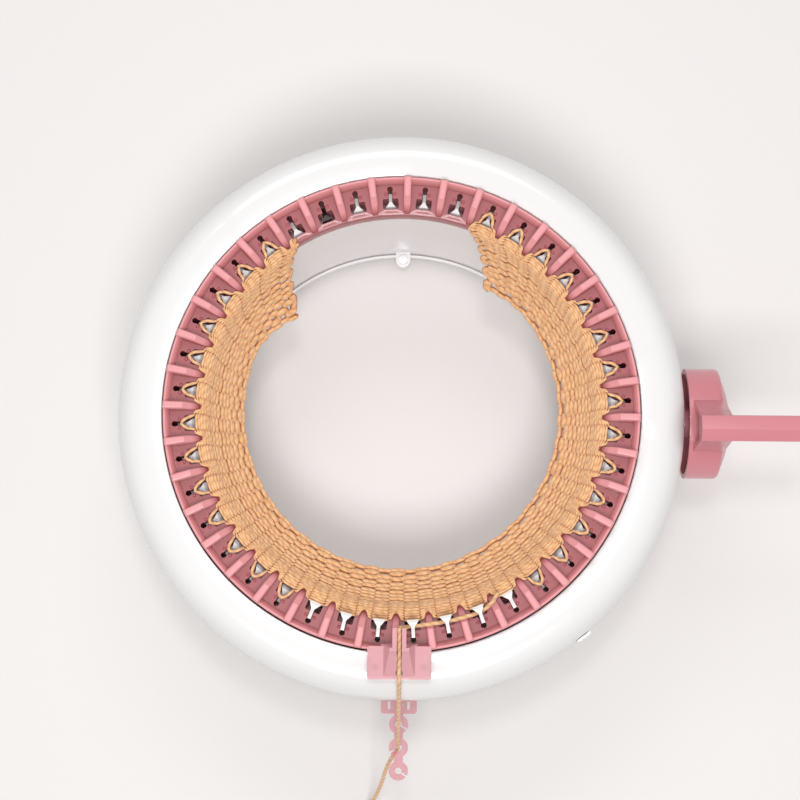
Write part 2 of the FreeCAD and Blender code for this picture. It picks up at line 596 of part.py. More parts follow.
def needle(lift=0.0):
    """One needle at angle zero: a stem with a butt, and a hook that opens towards the axis."""
    half = STEM_W / 2
    top = HEAD_TOP + lift
    stem = box(STEM_IN, STEM_OUT, -half, half, STEM_BOTTOM + lift, top - ARCH_FALL - 0.6)
    butt = box(STEM_OUT - 0.5, BUTT_OUT, -half, half, BUTT_BOTTOM + lift,
               BUTT_BOTTOM + BUTT_H + lift)
    y0 = -TIP_W / 2 - OVER
    crook = top - ARCH_FALL
    side = [V(STEM_OUT, y0, crook - ARCH_T), V(STEM_OUT, y0, crook), V(CROOK_AT, y0, crook + 0.4),
            V(CROOK_AT - ARCH_FALL, y0, top), V(TIP_IN + 1.6, y0, top),
            V(TIP_IN, y0, top - 1.4), V(TIP_IN, y0, top - HOOK_DEPTH),
            V(TIP_IN + TIP_T, y0, top - HOOK_DEPTH), V(TIP_IN + TIP_T, y0, top - ARCH_T),
            V(CROOK_AT - ARCH_FALL, y0, top - ARCH_T), V(STEM_IN, y0, crook - ARCH_T + 0.8),
            V(STEM_IN, y0, crook - ARCH_T)]
    hook = prism(side, V(0, TIP_W + 2 * OVER, 0))
    z0, height = top - HOOK_DEPTH - OVER, HOOK_DEPTH + 2 * OVER
    plan = [V(TIP_IN - OVER, -TIP_W / 2, z0), V(TIP_IN + 1.0, -TIP_W / 2, z0),
            V(NECK_AT, -half, z0), V(STEM_OUT + OVER, -half, z0),
            V(STEM_OUT + OVER, half, z0), V(NECK_AT, half, z0),
            V(TIP_IN + 1.0, TIP_W / 2, z0), V(TIP_IN - OVER, TIP_W / 2, z0)]
    hook = hook.common(prism(plan, V(0, 0, height)))
    return stem.fuse([butt, hook]).removeSplitter()


def lowered_angles():
    """The angles of the needles that stand in the low groove, without the marker."""
    special = list(RAISED.values()) + list(HALF_RAISED.values()) + [MARKER_ANGLE]

    def is_special(angle):
        return any(abs((angle - s + 180) % 360 - 180) < 0.1 for s in special)

    return [a for a in needle_angles() if not is_special(a)]


# ---- crank ------------------------------------------------------------------------------
def crank_shaft():
    """The shaft from the cradle out through the wall to the handle."""
    shaft = rod(SHAFT_R, CRADLE_IN - 0.1, SHAFT_END)
    return shaft.cut(rod(SCREW_R + SCREW_FIT, SHAFT_END - 8.0, SHAFT_END + OVER))


def hub_shell():
    """The domed hub, hollow from behind, with a boss on the shaft."""
    rise = HUB_DOME
    r_rim = HUB_R - 3.0
    points = [V(HUB_BACK, 0, 0), V(HUB_BACK, HUB_R, 0), V(HUB_RIM - 3.0, HUB_R, 0)]
    edges = [Part.LineSegment(points[0], points[1]), Part.LineSegment(points[1], points[2]),
             Part.Arc(points[2], V(HUB_RIM - 3 + 2.3, HUB_R - 0.75, 0), V(HUB_RIM, r_rim, 0)),
             Part.Arc(V(HUB_RIM, r_rim, 0), V(HUB_RIM + rise * 0.78, r_rim * 0.5, 0),
                      V(HUB_RIM + rise, 0, 0)),
             Part.LineSegment(V(HUB_RIM + rise, 0, 0), points[0])]
    solid = Part.Face(Part.Wire([e.toShape() for e in edges])).revolve(ORIGIN, X_AXIS, 360)
    solid.translate(V(0, 0, CRANK_Z))
    hollow = rod(HUB_R - HUB_WALL, HUB_BACK - OVER, HUB_RIM - HUB_WALL)
    hollow = hollow.cut(rod(BOSS_R, HUB_BACK - OVER, HUB_RIM))
    return solid.cut(hollow)


def arm_solid(inset, x0, x1, low):
    """The tapering arm, or with an inset the hollow inside it."""
    slope = (ARM_LOW_HALF - BAR_HALF) / (BAR_RISE - ARM_LOW)
    bottom = ARM_LOW if low is None else low
    wide = BAR_HALF + slope * (BAR_RISE - bottom) - inset
    narrow = BAR_HALF - inset
    top = CRANK_Z + BAR_RISE + (0.0 if inset == 0 else -BAR_HALF + 1.0)
    wide_top = narrow if inset == 0 else narrow + slope * (BAR_RISE + CRANK_Z - top)
    outline = [V(x0, -wide, CRANK_Z + bottom), V(x0, wide, CRANK_Z + bottom),
               V(x0, wide_top, top), V(x0, -wide_top, top)]
    return prism(outline, V(x1 - x0, 0, 0))


def grip_bar():
    """The bar that is gripped: six-sided, one ridge along its top, with softened edges."""
    r = BAR_HALF / math.cos(math.radians(30))
    outline = [V(ARM_BACK, r * math.sin(math.radians(60 * i)),
                 CRANK_Z + BAR_RISE + r * math.cos(math.radians(60 * i))) for i in range(6)]
    bar = prism(outline, V(BAR_END - ARM_BACK, 0, 0))
    long_edges = [e for e in bar.Edges if abs(e.Vertexes[0].X - e.Vertexes[-1].X) > 1]
    bar = bar.makeFillet(0.8, long_edges)
    end = [e for e in bar.Edges
           if min(e.Vertexes[0].X, e.Vertexes[-1].X) > BAR_END - 0.01]
    return bar.makeFillet(1.5, end)


def crank_handle():
    """Hub, hollow arm and grip bar in one moulding, leaning a little to the front."""
    body = hub_shell().fuse([arm_solid(0.0, ARM_BACK, ARM_FRONT, None), grip_bar()])
    pocket = arm_solid(ARM_WALL, ARM_BACK - OVER, ARM_FRONT - ARM_WALL, HUB_R - 0.8)
    body = body.cut(pocket)
    body = body.cut(rod(SHAFT_R + PRESS_FIT, HUB_BACK - OVER, SHAFT_END + 0.1))
    body = body.cut(rod(SCREW_R + SCREW_FIT, SHAFT_END - OVER, SCREW_SEAT + OVER))
    body = body.cut(rod(HEAD_R + 2 * SCREW_FIT, SCREW_SEAT, HUB_RIM + HUB_DOME + OVER))
    body.rotate(V(0, 0, CRANK_Z), X_AXIS, CRANK_LEAN)
    return body


def handle_screw():
    """The screw that holds the handle on its shaft."""
    head = rod(HEAD_R, SCREW_SEAT, SCREW_SEAT + HEAD_H)
    shank = rod(SCREW_R, SHAFT_END - 7.0, SCREW_SEAT + 0.5)
    slot = box(SCREW_SEAT + HEAD_H / 2, SCREW_SEAT + HEAD_H + OVER, -1.7, 1.7,
               CRANK_Z - 0.4, CRANK_Z + 0.4)
    across = box(SCREW_SEAT + HEAD_H / 2, SCREW_SEAT + HEAD_H + OVER, -0.4, 0.4,
                 CRANK_Z - 1.7, CRANK_Z + 1.7)
    return head.fuse(shank).cut(slot.fuse(across))


# ---- selector between turning and back-and-forth knitting -------------------------------
def selector_knob():
    """The thumb pad on the wall and its stem through the slot."""
    y = SELECTOR_TRAVEL / 2
    z_mid = SLIDE_Z + SLIDE_T / 2
    face = BODY_R + FIT
    pad = box(face, face + KNOB_T, y - KNOB_HALF, y + KNOB_HALF, z_mid - KNOB_H / 2,
              z_mid + KNOB_H / 2)
    ribs = [box(face + KNOB_T - 0.2, face + KNOB_T + 0.5, y + s - 0.4, y + s + 0.4,
                z_mid - KNOB_H / 2 + 1, z_mid + KNOB_H / 2 - 1) for s in (-2, 0, 2)]
    stem = box(SLIDE_OUT, face + 0.5, y - STEM_HALF, y + STEM_HALF, SLIDE_Z, SLIDE_Z + SLIDE_T)
    return turned(pad.fuse(ribs + [stem]), SELECTOR_ANGLE)


def selector_slide():
    """The inner plate, whose slanting slot draws the stop finger back."""
    end = SELECTOR_TRAVEL + 4.0
    plate = box(SLIDE_IN, SLIDE_OUT, -4.0, end, SLIDE_Z, SLIDE_Z + SLIDE_T)
    half = PIN_R + FIT
    z0, z1 = SLIDE_Z - OVER, SLIDE_Z + SLIDE_T + OVER
    run = math.hypot(FINGER_TRAVEL, SELECTOR_TRAVEL)
    nx, ny = -SELECTOR_TRAVEL / run * half, FINGER_TRAVEL / run * half
    a, b = (PIN_AT, 0.0), (PIN_AT + FINGER_TRAVEL, SELECTOR_TRAVEL)
    slot = prism([V(a[0] + nx, a[1] + ny, z0), V(b[0] + nx, b[1] + ny, z0),
                  V(b[0] - nx, b[1] - ny, z0), V(a[0] - nx, a[1] - ny, z0)], V(0, 0, z1 - z0))
    slot = slot.fuse([post(half, z0, z1, *a), post(half, z0, z1, *b)])
    return turned(plate.cut(slot), SELECTOR_ANGLE)


def stop_finger():
    """The bolt that the barrel's lug runs against in back-and-forth knitting."""
    bolt = box(FINGER_IN, FINGER_IN + FINGER_L, -FINGER_HALF, FINGER_HALF, FLANGE_Z, FLANGE_TOP)
    hole = post(PIN_R + PRESS_FIT, FLANGE_TOP - 3.0, FLANGE_TOP + OVER, PIN_AT)
    return turned(bolt.cut(hole), SELECTOR_ANGLE)


def finger_pin():
    """The pin of the stop finger, up through the slide's slot."""
    return turned(post(PIN_R, FLANGE_TOP - 3.0, SLIDE_Z + SLIDE_T + 0.8, PIN_AT), SELECTOR_ANGLE)


def finger_guide():
    """The channel on the housing's wall that the stop finger slides in."""
    x0, x1 = FLANGE_R + LUG_REACH + 2 * FIT, BODY_IN - 0.4
    block = box(x0, x1, -7.5, 7.5, FLANGE_Z - 4.0, SLIDE_Z - FIT)
    channel = box(x0 - OVER, x1 + OVER, -FINGER_HALF - FIT, FINGER_HALF + FIT,
                  FLANGE_Z - FIT, SLIDE_Z + OVER)
    return turned(block.cut(channel), SELECTOR_ANGLE)


# ---- yarn guides ------------------------------------------------------------------------
def yarn_feeder():
    """The clear guide on the housing: a plate with a slit hump and two prongs over the fins."""
    y_in, y_out = -FEEDER_IN, -FEEDER_OUT
    top = FEEDER_Z + FEEDER_T
    plate = box(-FEEDER_HALF, FEEDER_HALF, y_out, y_in, FEEDER_Z, top)
    upright = [e for e in plate.Edges if abs(e.Vertexes[0].Z - e.Vertexes[-1].Z) > 1]
    plate = plate.makeFillet(1.2, upright)
    foot_in = -(CROWN_R + RIM_GAP + RIM_SOFT + 1.0)
    walls = [box(s * FEEDER_HALF - (1.6 if s > 0 else 0.0), s * FEEDER_HALF + (0.0 if s > 0 else 1.6),
                 y_out + 1.3, foot_in, BODY_TOP, FEEDER_Z + 0.5) for s in (-1, 1)]
    back = box(-FEEDER_HALF + 1.3, FEEDER_HALF - 1.3, y_out, y_out + 1.6, BODY_TOP + 2.5,
               FEEDER_Z + 0.5)
    side = [V(-9.5, -138.4, top - 0.5), V(-9.5, -124.9, HUMP_TOP), V(-9.5, -123.2, HUMP_TOP),
            V(-9.5, -121.0, FEEDER_Z + 0.4), V(-9.5, -121.0, FEEDER_Z),
            V(-9.5, -138.4, FEEDER_Z)]
    hump = prism(side, V(19.0, 0, 0))
    front = [V(-9.5, -140, FEEDER_Z), V(-7.4, -140, top + 1.2), V(-5.0, -140, HUMP_TOP + 0.1),
             V(5.0, -140, HUMP_TOP + 0.1), V(7.4, -140, top + 1.2), V(9.5, -140, FEEDER_Z)]
    hump = hump.common(prism(front, V(0, 22, 0)))
    prongs = box(-SLIT_W / 2 - PRONG_W, SLIT_W / 2 + PRONG_W, -124.0, -PRONG_IN, PRONG_Z, HUMP_TOP)
    body = plate.fuse(walls + [back, hump, prongs])
    pegs = [post(CLIP_R, BODY_TOP - 2 * WALL, FEEDER_Z + 0.5, s * CLIP_AT, -CLIP_Y)
            for s in (-1, 1)]
    body = body.fuse(pegs)
    slit = box(-SLIT_W / 2, SLIT_W / 2, -136.0, -PRONG_IN + OVER, FEEDER_Z - OVER, HUMP_TOP + OVER)
    eye = post(EYE_R, FEEDER_Z - OVER, HUMP_TOP + OVER, 0, -136.0)
    return body.cut(slit).cut(eye)


def tension_bracket():
    """The foot of the yarn tensioner: a slotted plate with a tongue through the wall."""
    z0, z1 = BRACKET_Z - BRACKET_T / 2, BRACKET_Z + BRACKET_T / 2
    plate = box(-BRACKET_HALF, BRACKET_HALF, -BRACKET_OUT, -BODY_R - FIT, z0, z1)
    outer = [e for e in plate.Edges
             if abs(e.Vertexes[0].Z - e.Vertexes[-1].Z) > 1 and e.Vertexes[0].Y < -BODY_R - 2]
    plate = plate.makeFillet(1.5, outer)
    for side in (-1, 1):
        plate = plate.cut(box(side * 5.2 - 0.7, side * 5.2 + 0.7, -BRACKET_OUT + 2.2, -BODY_R + 1,
                              z0 - OVER, z1 + OVER))
    tongue = box(-TONGUE_HALF, TONGUE_HALF, -BODY_R - 0.8, -BODY_IN + 2.5,
                 BRACKET_Z - RING_T / 2, BRACKET_Z + RING_T / 2)
    return plate.fuse(tongue)


def tension_arm():
    """Three open rings in a row; the yarn is threaded through more of them for more drag."""
    z0, z1 = BRACKET_Z - RING_T / 2, BRACKET_Z + RING_T / 2
    last = FIRST_RING + 2 * RING_PITCH
    body = box(-2.4, 2.4, -last, -BRACKET_OUT, z0, z1)
    body = body.fuse([post(RING_R, z0, z1, 0, -FIRST_RING - RING_PITCH * i) for i in range(3)])
    for i, angle in enumerate((-32.0, 212.0, -35.0)):
        y = -FIRST_RING - RING_PITCH * i
        hole = post(RING_HOLE, z0 - OVER, z1 + OVER, 0, y)
        cut = box(0, RING_R + 2, -0.45, 0.45, z0 - OVER, z1 + OVER)
        cut.rotate(ORIGIN, Z_AXIS, angle)
        cut.translate(V(0, y, 0))
        body = body.cut(hole.fuse(cut))
    return body


# ---- yarn and knitting ------------------------------------------------------------------
FEED_ROUTE = [(-30.2, -231.0, 1.2), (-29.6, -225.6, 1.2), (-26.4, -219.9, 1.3),
              (-20.6, -214.6, 2.6), (-15.2, -208.8, 9.0), (-11.4, -201.8, 20.5),
              (-8.6, -194.4, 36.0), (-6.6, -186.8, 51.5), (-2.6, -179.2, 62.0),
              (0.0, -175.4, 70.5), (0.0, -140.9, 129.9), (0.0, -134.2, 131.8),
              (0.0, -126.4, 133.0), (0.0, -118.6, 134.7), (0.0, -113.2, 135.0)]
LAID_ROUTE = [(0.2, -112.9, 131.4), (2.6, -112.6, 127.8), (6.8, -111.9, 125.7),
              (15.6, -110.7, 125.5), (24.2, -109.4, 125.6), (32.9, -107.1, 125.6),
              (41.5, -104.5, 125.7), (46.7, -100.5, 125.9), (49.8, -96.2, 125.6),
              (52.9, -94.4, 124.9)]


def cord_tube(name, route, diameter):
    """A tube along straight runs joined by tangent arcs, each as large as its runs allow."""
    points = [V(*p) for p in route]
    radii, edges, at = [], [], points[0]
    for i in range(1, len(points) - 1):
        a, b, c = points[i - 1], points[i], points[i + 1]
        into = (b - a).normalize()
        out = (c - b).normalize()
        turn = into.getAngle(out)
        shorter = min((b - a).Length, (c - b).Length)
        back = 0.45 * shorter
        radius = back / math.tan(turn / 2)
        start, end = b - into * back, b + out * back
        middle = b + (out - into).normalize() * (radius / math.cos(turn / 2) - radius)
        edges += [Part.LineSegment(at, start).toShape(), Part.Arc(start, middle, end).toShape()]
        radii.append(radius)
        at = end
    edges.append(Part.LineSegment(at, points[-1]).toShape())
    path = Part.Wire(edges)
    circle = Part.Circle(points[0], points[1] - points[0], diameter / 2).toShape()
    tube = path.makePipeShell([Part.Wire(circle)], True, True)
    expected = math.pi * diameter ** 2 / 4 * path.Length
    print("%s: length %.1f, volume %.1f of %.1f, radii %s" % (
        name, path.Length, tube.Volume, expected, " ".join("%.1f" % r for r in radii)))
    return tube


def yarn_coil():
    """The outer shape of the yarn that is put away as a round coil."""
    tube = post(COIL_MID_R + COIL_W / 2, 0.1, COIL_H, COIL_X, COIL_Y)
    return tube.cut(post(COIL_MID_R - COIL_W / 2, 0.0, COIL_H + OVER, COIL_X, COIL_Y))


def knitted_panel():
    """The knitting in its plain outer shape: a band hanging in the throat, open at the back."""
    top_r = THROAT_R - FIT
    bend = PANEL_TOP - PANEL_STRAIGHT
    outline = [(top_r, PANEL_TOP), (top_r, bend), (PANEL_HEM_R, PANEL_HEM_Z),
               (PANEL_HEM_R - PANEL_T, PANEL_HEM_Z + 1.5), (top_r - PANEL_T, bend + 1.5),
               (top_r - PANEL_T, PANEL_TOP)]
    return turned(turned_profile(outline, PANEL_SPAN), PANEL_START)


# ---- the nodes --------------------------------------------------------------------------
def rubber_feet():
    """Four feet under the base plate."""
    foot = Part.makeCone(FOOT_R, FOOT_R + 1.0, FOOT_H, V(FOOT_AT, 0, 0), Z_AXIS)
    return around(foot, FOOT_ANGLES)


def fixed_nodes():
    """Everything that stands still."""
    save("outer_housing", outer_housing())
    save("base_plate", base_plate())
    save("inner_tube", inner_tube())
    save("track_ring", track_ring())
    save("cam_ring", cam_ring())
    save("pinion_cradle", pinion_cradle())
    save("wall_bush", wall_bush())
    save("finger_guide", finger_guide())
    save("yarn_feeder", yarn_feeder())
    save("tension_bracket", tension_bracket())
    save("tension_arm", tension_arm())
    save("rubber_feet", *rubber_feet())
    save("base_screws", *around(screw(FOOT_H, BASE_TOP + 12, BASE_SCREW_R), BASE_SCREW_ANGLES))
    save("tab_screws", *around(screw(BASE_TOP + TAB_T + HEAD_H, FOOT_H + 0.5, TAB_AT),
                               TAB_ANGLES))
    save("cam_screws", *around(screw(FOOT_H, BASE_TOP + CAM_FOOT_T, CAM_SCREW_AT),
                               CAM_SCREW_ANGLES))
    save("cradle_screws", *[screw(FOOT_H, BASE_TOP + 8, x, y) for x, y in CRADLE_SCREWS])
    save("feed_yarn", cord_tube("feed_yarn", FEED_ROUTE, YARN_D))
    save("yarn_coil", yarn_coil())


def barrel_nodes():
    """What turns with the barrel."""
    save("barrel_body", barrel_body())
    save("needle_crown", needle_crown())
    save("ring_gear", ring_gear())
    save("needle_band", ring(BARREL_OUT + 0.1, BARREL_OUT + 1.2, 61.0, 65.0))
    save("crown_screws", *around(screw(FLANGE_Z - HEAD_H, FLANGE_TOP + 5, CROWN_SCREW_AT),
                                 CROWN_SCREW_ANGLES))
    save("gear_screws", *around(screw(FLANGE_TOP + HEAD_H, ROOT_Z + 0.8, GEAR_SCREW_AT),
                                GEAR_SCREW_ANGLES))
    save("needles_lowered", *around(needle(), lowered_angles()))
    save("needle_marker", turned(needle(), MARKER_ANGLE))
    for name, angle in RAISED.items():
        save(name, turned(needle(LIFT), angle))
    for name, angle in HALF_RAISED.items():
        save(name, turned(needle(LIFT / 2), angle))
    save("knitted_panel", knitted_panel())
    save("laid_yarn", cord_tube("laid_yarn", LAID_ROUTE, YARN_D))


def crank_nodes():
    """What turns with the crank."""
    save("crank_shaft", crank_shaft())
    save("drive_pinion", drive_pinion())
    save("crank_handle", crank_handle())
    save("handle_screw", handle_screw())


def selector_nodes():
    """The selector and the finger that it draws back."""
    save("selector_knob", selector_knob())
    save("selector_slide", selector_slide())
    save("stop_finger", stop_finger())
    save("finger_pin", finger_pin())


os.makedirs("parts", exist_ok=True)
fixed_nodes()
barrel_nodes()
crank_nodes()
selector_nodes()
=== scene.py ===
# %% [markdown]
# # A circular knitting machine, seen from above
# The mechanism is already exact: it comes in as a frame of CAD nodes, each on the body it
# moves with. Here those nodes get their plastics, rubber and steel, and the soft things are
# made: the knitting that hangs in the throat, and the yarn that feeds it.

import json
import math

import bpy
import numpy as np
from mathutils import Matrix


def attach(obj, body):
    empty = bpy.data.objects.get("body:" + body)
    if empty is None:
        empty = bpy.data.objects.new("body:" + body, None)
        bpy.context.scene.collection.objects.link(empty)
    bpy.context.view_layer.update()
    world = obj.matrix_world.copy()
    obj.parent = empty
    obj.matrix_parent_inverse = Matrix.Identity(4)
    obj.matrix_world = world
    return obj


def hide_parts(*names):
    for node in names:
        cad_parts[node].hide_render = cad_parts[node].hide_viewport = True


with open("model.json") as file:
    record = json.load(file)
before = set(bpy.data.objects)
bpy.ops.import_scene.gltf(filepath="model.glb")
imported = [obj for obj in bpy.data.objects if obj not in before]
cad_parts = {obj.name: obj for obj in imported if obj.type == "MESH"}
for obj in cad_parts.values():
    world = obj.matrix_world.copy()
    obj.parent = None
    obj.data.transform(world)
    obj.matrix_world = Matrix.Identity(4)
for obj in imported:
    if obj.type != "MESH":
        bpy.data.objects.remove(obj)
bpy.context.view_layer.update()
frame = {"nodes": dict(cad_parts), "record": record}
MM = 0.001

# %% [markdown]
# ## The camera
# The machine is looked at almost straight down, from a little in front of it, with a long
# lens so that the round housing stays round. A small roll turns the whole picture.

# %% Camera
CAMERA_AT = (0.0005, -0.1395, 1.3221)
CAMERA_TILT = math.radians(6.91)
CAMERA_ROLL = math.radians(0.55)
FOCAL_RATIO = 2311.6 / 800.0
SENSOR = 36.0

camera_data = bpy.data.cameras.new("overhead")
camera_data.sensor_width = SENSOR
camera_data.lens = SENSOR * FOCAL_RATIO
camera = bpy.data.objects.new("overhead", camera_data)
bpy.context.scene.collection.objects.link(camera)
camera.location = CAMERA_AT
camera.rotation_mode = "XYZ"
camera.rotation_euler = (CAMERA_TILT, 0.0, CAMERA_ROLL)
bpy.context.scene.camera = camera
print("lens %.1f mm" % camera_data.lens)

# %% [markdown]
# ## Light and floor
# A white machine on a pale table needs light from all round, so that its shape shows only
# as soft greys. One broad panel high up and a little in front of the machine lights the
# inside of the far wall and leaves the table behind the near wall in shade. A small one
# right above reaches the bottom of the throat, and a weaker panel behind gives the glints
# on the rounded shoulder.

# %% Lights
AIM = (0.0, 0.0, 0.05)                   # the point that every panel faces


def soft_panel(name, place, size, power):
    """An area light that faces the machine."""
    light = bpy.data.lights.new(name, "AREA")
    light.shape = "RECTANGLE"
    light.size, light.size_y = size
    light.energy = power
    lamp = bpy.data.objects.new(name, light)
    lamp.location = place
    away = np.array(place) - np.array(AIM)
    flat = math.hypot(away[0], away[1])
    lamp.rotation_euler = (math.atan2(flat, away[2]), 0.0, math.atan2(away[0], -away[1]))
    bpy.context.scene.collection.objects.link(lamp)


soft_panel("front_panel", (0.0, -0.7, 1.9), (0.7, 0.6), 19.0)
soft_panel("top_panel", (0.0, 0.2, 1.9), (0.2, 0.2), 4.6)
soft_panel("back_panel", (-0.1, 1.1, 1.6), (1.2, 0.7), 7.0)

sky = bpy.data.worlds.new("studio")
bpy.context.scene.world = sky
sky.use_nodes = True
sky_light = sky.node_tree.nodes["Background"]
sky_light.inputs["Color"].default_value = (1.0, 0.985, 0.98, 1.0)
sky_light.inputs["Strength"].default_value = 0.45
bpy.context.scene.view_settings.view_transform = "Standard"

# %% [markdown]
# ## Node groups that several finishes share
# Moulded plastic is never perfectly even: it has a faint orange-peel surface and its gloss
# varies where hands have touched it. That effect is one node group, placed in each plastic
# with its own values. A second group draws the twist of a two-ply yarn from the strand's
# own UV map: U counts metres along it and V goes once round it.

# %% Group helpers
def new_group(name, inputs, outputs):
    """An empty shader group with named inputs (name, kind, value) and outputs."""
    group = bpy.data.node_groups.new(name, "ShaderNodeTree")
    for label, kind, value in inputs:
        socket = group.interface.new_socket(label, in_out="INPUT", socket_type=kind)
        if value is not None:
            socket.default_value = value
    for label, kind in outputs:
        group.interface.new_socket(label, in_out="OUTPUT", socket_type=kind)
    enter = group.nodes.new("NodeGroupInput")
    leave = group.nodes.new("NodeGroupOutput")
    return group, enter, leave


def maths(tree, operation, a, b=None, c=None):
    """A Math node; each operand is a number or a socket. Returns its output."""
    node = tree.nodes.new("ShaderNodeMath")
    node.operation = operation
    for slot_index, value in enumerate((a, b, c)):
        if value is None:
            continue
        if hasattr(value, "is_linked"):
            tree.links.new(value, node.inputs[slot_index])
        else:
            node.inputs[slot_index].default_value = value
    return node.outputs[0]


def remap(tree, value, low, high):
    """A Map Range node from 0-1 to low-high; low and high are numbers or sockets."""
    node = tree.nodes.new("ShaderNodeMapRange")
    tree.links.new(value, node.inputs["Value"])
    for label, end in (("To Min", low), ("To Max", high)):
        if hasattr(end, "is_linked"):
            tree.links.new(end, node.inputs[label])
        else:
            node.inputs[label].default_value = end
    return node.outputs["Result"]


def noise(tree, vector, scale, detail):
    """A Noise Texture read at a vector. Returns its value."""
    node = tree.nodes.new("ShaderNodeTexNoise")
    tree.links.new(vector, node.inputs["Vector"])
    node.inputs["Detail"].default_value = detail
    if hasattr(scale, "is_linked"):
        tree.links.new(scale, node.inputs["Scale"])
    else:
        node.inputs["Scale"].default_value = scale
    return node.outputs["Fac"]


def tinted(tree, factor, dark, light):
    """A Mix of two colours. Returns its colour output."""
    node = tree.nodes.new("ShaderNodeMix")
    node.data_type = "RGBA"
    tree.links.new(factor, node.inputs["Factor"])
    for socket, colour in ((node.inputs[6], dark), (node.inputs[7], light)):
        if hasattr(colour, "is_linked"):
            tree.links.new(colour, socket)
        else:
            socket.default_value = (*colour, 1.0)
    return node.outputs[2]


# %% Moulded surface group
moulded, enter, leave = new_group(
    "Moulded surface",
    [("Gloss low", "NodeSocketFloat", 0.2), ("Gloss high", "NodeSocketFloat", 0.35),
     ("Peel scale", "NodeSocketFloat", 900.0), ("Peel depth", "NodeSocketFloat", 0.05)],
    [("Roughness", "NodeSocketFloat"), ("Patch", "NodeSocketFloat"),
     ("Normal", "NodeSocketVector")])
place = moulded.nodes.new("ShaderNodeTexCoord").outputs["Object"]
handled = noise(moulded, place, 14.0, 3.0)
peel = noise(moulded, place, enter.outputs["Peel scale"], 2.0)
bump = moulded.nodes.new("ShaderNodeBump")
bump.inputs["Distance"].default_value = 0.0002
moulded.links.new(enter.outputs["Peel depth"], bump.inputs["Strength"])
moulded.links.new(peel, bump.inputs["Height"])
gloss = remap(moulded, handled, enter.outputs["Gloss low"], enter.outputs["Gloss high"])
moulded.links.new(gloss, leave.inputs["Roughness"])
moulded.links.new(handled, leave.inputs["Patch"])
moulded.links.new(bump.outputs["Normal"], leave.inputs["Normal"])

# %% Yarn twist group
twist, enter, leave = new_group(
    "Yarn twist",
    [("Plies", "NodeSocketFloat", 2.0), ("Lay", "NodeSocketFloat", 0.009)],
    [("Groove", "NodeSocketFloat"), ("Fibre", "NodeSocketFloat"),
     ("Patch", "NodeSocketFloat")])
strand_uv = twist.nodes.new("ShaderNodeUVMap")
strand_uv.uv_map = "strand"
split = twist.nodes.new("ShaderNodeSeparateXYZ")
twist.links.new(strand_uv.outputs["UV"], split.inputs["Vector"])
turns = maths(twist, "DIVIDE", split.outputs["X"], enter.outputs["Lay"])
winding = maths(twist, "ADD", turns, split.outputs["Y"])
wave = maths(twist, "MULTIPLY", winding, enter.outputs["Plies"])
wave = maths(twist, "MULTIPLY", wave, math.pi)
wave = maths(twist, "ABSOLUTE", maths(twist, "COSINE", wave))
hairs = maths(twist, "MULTIPLY", winding, 22.0)
hairs = maths(twist, "SINE", maths(twist, "MULTIPLY", hairs, math.tau))
place = twist.nodes.new("ShaderNodeTexCoord").outputs["Object"]
fluff = noise(twist, place, 1500.0, 3.0)
hairs = maths(twist, "MULTIPLY_ADD", hairs, 0.25, fluff)
patch = noise(twist, place, 90.0, 3.0)
twist.links.new(wave, leave.inputs["Groove"])
twist.links.new(hairs, leave.inputs["Fibre"])
twist.links.new(patch, leave.inputs["Patch"])
print("groups", [g.name for g in bpy.data.node_groups])

# %% [markdown]
# ## Plastics, rubber and steel
# The housing, the needles and the fittings are all glossy injection mouldings and differ in
# colour and gloss. The crown is painted darker at the bottom of its pockets, as painted shade,
# and the lining tube is painted a brighter, cooler white than the housing, as painted light. The
# guide at the front is a tinted clear plastic, so some of the white under it shows through, and
# the tensioner's rings are clearer still.

# %% Material maker
SHADE_BLEND = 3.5 * MM                    # the height over which the painted shade colour fades out
COAT_ROUGH = 0.08


def finish(name, colour, gloss_range, peel_scale=900.0, peel_depth=0.05, variation=0.03,
           coat=0.0, metallic=0.0, alpha=1.0, specular=0.5, painted_shade=None):
    """A Principled material whose gloss, bump and shade come from the moulded group.

    painted_shade is (height, colour): below that height the colour passes into that one, as
    painted shade in the recesses that lie below that height."""
    material = bpy.data.materials.new(name)
    material.use_nodes = True
    tree = material.node_tree
    shader = tree.nodes["Principled BSDF"]
    surface = tree.nodes.new("ShaderNodeGroup")
    surface.node_tree = moulded
    surface.inputs["Gloss low"].default_value = gloss_range[0]
    surface.inputs["Gloss high"].default_value = gloss_range[1]
    surface.inputs["Peel scale"].default_value = peel_scale
    surface.inputs["Peel depth"].default_value = peel_depth
    dark = tuple(c * (1.0 - variation) for c in colour)
    light = tuple(min(1.0, c * (1.0 + variation)) for c in colour)
    shade = tinted(tree, surface.outputs["Patch"], dark, light)
    # painted shade: below the given height the colour darkens, as in shaded recesses
    if painted_shade is not None:
        height, shade_colour = painted_shade
        spot = tree.nodes.new("ShaderNodeSeparateXYZ")
        place = tree.nodes.new("ShaderNodeTexCoord").outputs["Object"]
        tree.links.new(place, spot.inputs["Vector"])
        ramp = tree.nodes.new("ShaderNodeMapRange")
        tree.links.new(spot.outputs["Z"], ramp.inputs["Value"])
        ramp.inputs["From Min"].default_value = height
        ramp.inputs["From Max"].default_value = height + SHADE_BLEND
        shade = tinted(tree, ramp.outputs["Result"], shade_colour, shade)
    tree.links.new(shade, shader.inputs["Base Color"])
    tree.links.new(surface.outputs["Roughness"], shader.inputs["Roughness"])
    tree.links.new(surface.outputs["Normal"], shader.inputs["Normal"])
    shader.inputs["Metallic"].default_value = metallic
    shader.inputs["Coat Weight"].default_value = coat
    shader.inputs["Coat Roughness"].default_value = COAT_ROUGH
    shader.inputs["Specular IOR Level"].default_value = specular
    shader.inputs["Alpha"].default_value = alpha
    return material


